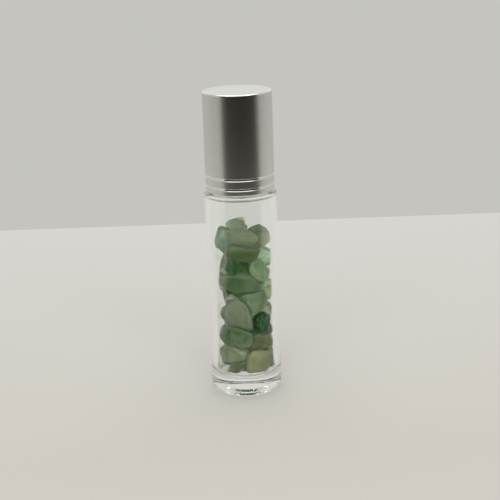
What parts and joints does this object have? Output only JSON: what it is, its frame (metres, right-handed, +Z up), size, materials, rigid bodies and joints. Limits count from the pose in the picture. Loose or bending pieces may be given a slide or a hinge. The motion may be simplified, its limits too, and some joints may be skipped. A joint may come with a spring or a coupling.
{
  "type": "rollerball bottle",
  "caption": "Clear glass rollerball bottle with a matte silver screw cap, holding tumbled green stone chips below a steel ball in a plastic housing.",
  "frame": {"origin": "centre of the base, on the surface that the bottle stands on", "axes": "+Z up along the bottle's axis, -Y towards the side that the picture shows, +X to the right in it"},
  "size_m": [0.02, 0.02, 0.086],
  "materials": {
    "clear_glass": "clear, fire-polished",
    "natural_plastic": "natural polypropylene, moulded",
    "polished_steel": "stainless steel ball, ground and polished",
    "white_plastic": "white polypropylene, moulded",
    "satin_aluminium": "satin silver anodised, with two bright-cut rings",
    "stone_dark": "tumbled, dark teal green",
    "stone_mid": "tumbled, mid green",
    "stone_pale": "tumbled, pale grey green",
    "stone_olive": "tumbled, olive khaki",
    "stone_mint": "tumbled, mint green"
  },
  "bodies": {
    "bottle": {"glass_bottle": "clear_glass", "roller_housing": "natural_plastic"},
    "cap": {"cap_shell": "satin_aluminium", "cap_liner": "white_plastic"},
    "ball": {"roller_ball": "polished_steel"},
    "stones": {"chip_01": "stone_mid", "chip_02": "stone_dark", "chip_03": "stone_olive", "chip_04": "stone_olive", "chip_05": "stone_mid", "chip_06": "stone_dark", "chip_07": "stone_pale", "chip_08": "stone_olive", "chip_09": "stone_mid", "chip_10": "stone_pale", "chip_11": "stone_mid", "chip_12": "stone_pale", "chip_13": "stone_dark", "chip_14": "stone_dark", "chip_15": "stone_dark", "chip_16": "stone_olive", "chip_17": "stone_pale", "chip_18": "stone_pale", "chip_19": "stone_mid", "chip_20": "stone_mid", "chip_21": "stone_mid", "chip_22": "stone_pale", "chip_23": "stone_mid", "chip_24": "stone_dark", "chip_25": "stone_pale", "chip_26": "stone_mid", "chip_27": "stone_pale", "chip_28": "stone_mid", "chip_29": "stone_mid", "chip_30": "stone_dark", "chip_31": "stone_pale", "chip_32": "stone_mint", "chip_33": "stone_dark", "chip_34": "stone_mid", "chip_35": "stone_mid", "chip_36": "stone_olive", "chip_37": "stone_olive", "chip_38": "stone_mid", "chip_39": "stone_dark", "chip_40": "stone_pale", "chip_41": "stone_pale"}
  },
  "joints": [
    {"name": "cap_lift", "type": "slide", "parent": "bottle", "child": "cap", "axis": [0, 0, 1], "range_m": [0, 0.03]},
    {"name": "ball_roll", "type": "hinge", "parent": "bottle", "child": "ball", "pos_m": [0, 0, 0.0719], "axis": [1, 0, 0], "continuous": true},
    {"name": "chips_slide", "type": "slide", "parent": "bottle", "child": "stones", "axis": [0, 0, 1], "range_m": [0, 0.004]}
  ]
}
